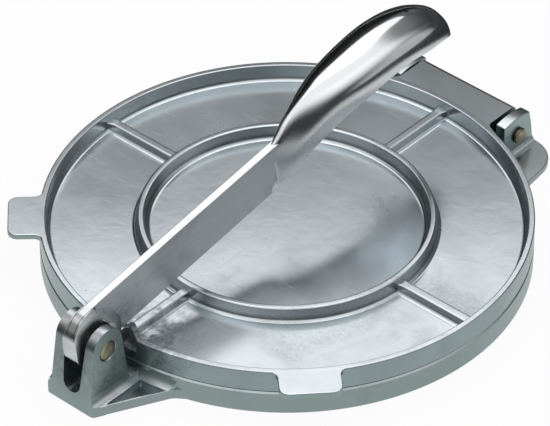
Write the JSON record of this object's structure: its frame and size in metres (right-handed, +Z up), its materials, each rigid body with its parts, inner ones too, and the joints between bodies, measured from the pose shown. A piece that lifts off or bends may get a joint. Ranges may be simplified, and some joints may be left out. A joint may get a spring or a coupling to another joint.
{
  "type": "tortilla press",
  "caption": "Cast-metal tortilla press: ribbed round plates hinged at the back, with a forked front yoke whose lever, laid over the top, presses the plates together.",
  "frame": {"origin": "centre of the round plates, on the plane the press stands on", "axes": "+Z up; -Y towards the lever's yoke, +Y towards the hinge; X along the lever pin and the hinge pin"},
  "size_m": [0.154, 0.1909, 0.0637],
  "materials": {
    "base_plate": "cast, satin",
    "top_plate": "cast, tumbled satin",
    "lever": "cast, grip polished",
    "pins": "dull plated"
  },
  "bodies": {
    "base": {"base_plate": "base_plate", "lever_pin": "pins", "hinge_pin": "pins"},
    "top": {"top_plate": "top_plate"},
    "lever": {"lever": "lever"}
  },
  "joints": [
    {"name": "lever_swing", "type": "hinge", "parent": "base", "child": "lever", "pos_m": [0, -0.08885, 0.0199], "axis": [1, 0, 0], "range_deg": [0, 165]},
    {"name": "plate_open", "type": "hinge", "parent": "base", "child": "top", "pos_m": [0, 0.0848, 0.0088], "axis": [-1, 0, 0], "range_deg": [0, 10.8]}
  ],
  "couplings": [
    {"joint": "plate_open", "follows": "lever_swing", "ratio": 0.065}
  ]
}
